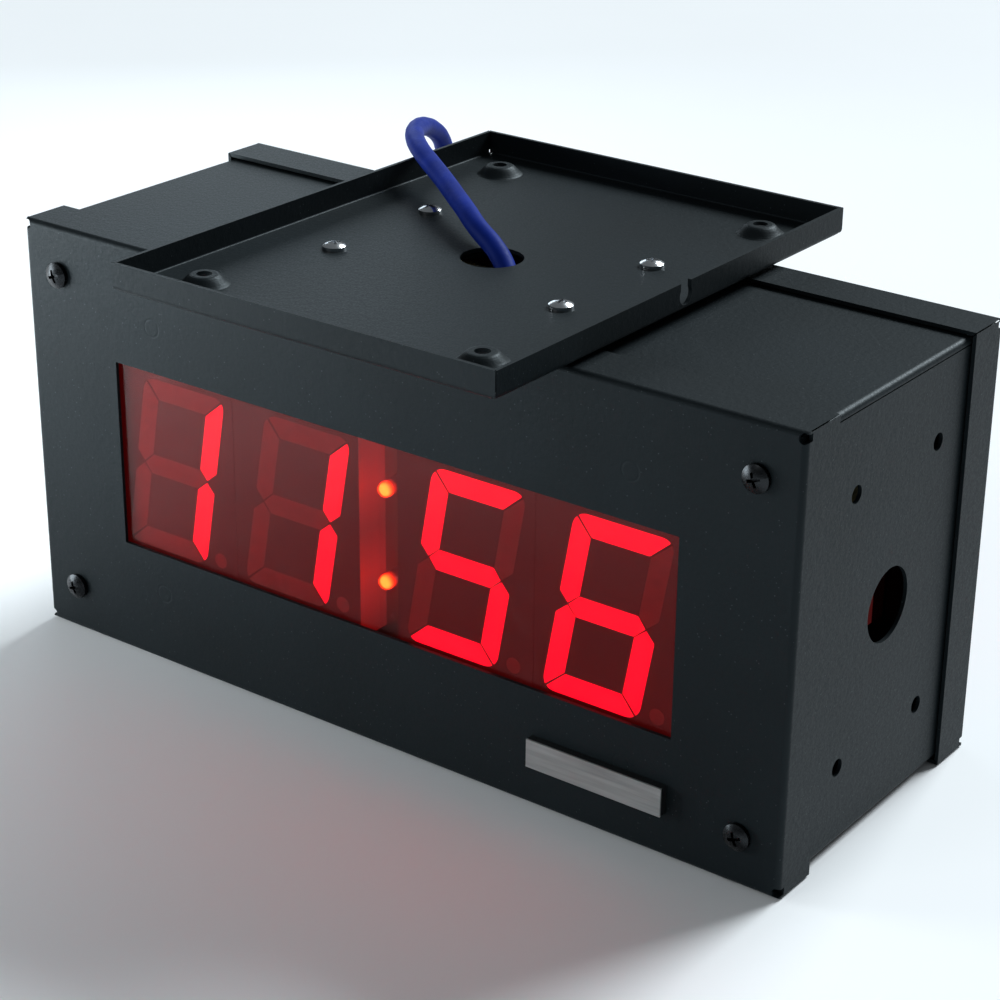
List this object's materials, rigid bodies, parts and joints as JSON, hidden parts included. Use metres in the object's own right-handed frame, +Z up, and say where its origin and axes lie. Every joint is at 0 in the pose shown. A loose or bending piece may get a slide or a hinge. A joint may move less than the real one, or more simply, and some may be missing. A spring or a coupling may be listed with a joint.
{
  "type": "double-sided digital clock",
  "caption": "Ceiling-mounted double-sided LED digital clock: folded steel housing, two pull-off display bezels, a mounting tray on top and a network cable that powers it.",
  "frame": {"origin": "centre of the rectangle that the clock covers, on the surface that its two bezels stand on", "axes": "+Z up towards the mounting tray; the front display faces -Y, the rear one +Y; +X is the side on the right of somebody who reads the front display"},
  "size_m": [0.2816, 0.2801, 0.1551],
  "materials": {
    "charcoal_powder_coat": "fine semi-matt charcoal powder coat on folded steel",
    "zinc_plated_steel": "bright zinc plate",
    "nickel_screw": "bright nickel-plated pan heads",
    "black_screw": "black oxide, slightly glossy",
    "circuit_board": "green solder mask",
    "black_component": "moulded black plastic",
    "jack_shield": "tinned jack shield",
    "transformer_core": "ferrite and tape",
    "capacitor_sleeve": "blue shrink sleeve",
    "ribbon_grey": "grey flat cable",
    "blue_cable_jacket": "smooth blue PVC jacket, slight sheen",
    "clear_plug": "clear polycarbonate with a blue boot",
    "black_strap": "black hook-and-loop strap",
    "red_filter": "smoky red acrylic, glossy",
    "foam_tape": "black foam tape",
    "display_reflector": "dark grey display body",
    "lit_red": "glowing red light bars",
    "unlit_red": "unlit milky red bars",
    "colon_led": "glowing round LEDs",
    "badge_metal": "pale satin face, dark edges"
  },
  "bodies": {
    "housing": {"housing_base": "charcoal_powder_coat", "housing_top": "charcoal_powder_coat", "bezel_nuts": "zinc_plated_steel", "mounting_tray": "charcoal_powder_coat", "tray_spacers": "zinc_plated_steel", "tray_screws": "nickel_screw", "tray_nuts": "zinc_plated_steel", "controller_board": "circuit_board", "board_standoffs": "zinc_plated_steel", "board_screws": "zinc_plated_steel", "network_jack": "jack_shield", "power_transformer": "transformer_core", "capacitors": "capacitor_sleeve", "controller_chips": "black_component", "controller_headers": "black_component", "ribbon_cables": "ribbon_grey", "ribbon_sockets": "black_component", "inner_plug": "clear_plug", "inner_lead": "blue_cable_jacket", "network_cable": "blue_cable_jacket", "cable_coil": "blue_cable_jacket", "coil_tie": "black_strap", "cable_tail": "blue_cable_jacket", "network_plug": "clear_plug"},
    "front_display": {"front_bezel": "charcoal_powder_coat", "front_lens": "red_filter", "front_lens_gasket": "foam_tape", "front_display_board": "circuit_board", "front_digits": "display_reflector", "front_lit_segments": "lit_red", "front_unlit_segments": "unlit_red", "front_colon_leds": "colon_led", "front_weld_studs": "zinc_plated_steel", "front_stud_spacers": "zinc_plated_steel", "front_stud_nuts": "zinc_plated_steel", "front_bezel_screws": "black_screw", "front_board_header": "black_component", "front_driver_chips": "black_component", "front_badge": "badge_metal"},
    "rear_display": {"rear_bezel": "charcoal_powder_coat", "rear_lens": "red_filter", "rear_lens_gasket": "foam_tape", "rear_display_board": "circuit_board", "rear_digits": "display_reflector", "rear_lit_segments": "lit_red", "rear_unlit_segments": "unlit_red", "rear_colon_leds": "colon_led", "rear_weld_studs": "zinc_plated_steel", "rear_stud_spacers": "zinc_plated_steel", "rear_stud_nuts": "zinc_plated_steel", "rear_bezel_screws": "black_screw", "rear_board_header": "black_component", "rear_driver_chips": "black_component", "rear_badge": "badge_metal"}
  },
  "joints": [
    {"name": "front_bezel_slide", "type": "slide", "parent": "housing", "child": "front_display", "axis": [0, -1, 0], "range_m": [0, 0.03]},
    {"name": "rear_bezel_slide", "type": "slide", "parent": "housing", "child": "rear_display", "axis": [0, 1, 0], "range_m": [0, 0.03]}
  ]
}
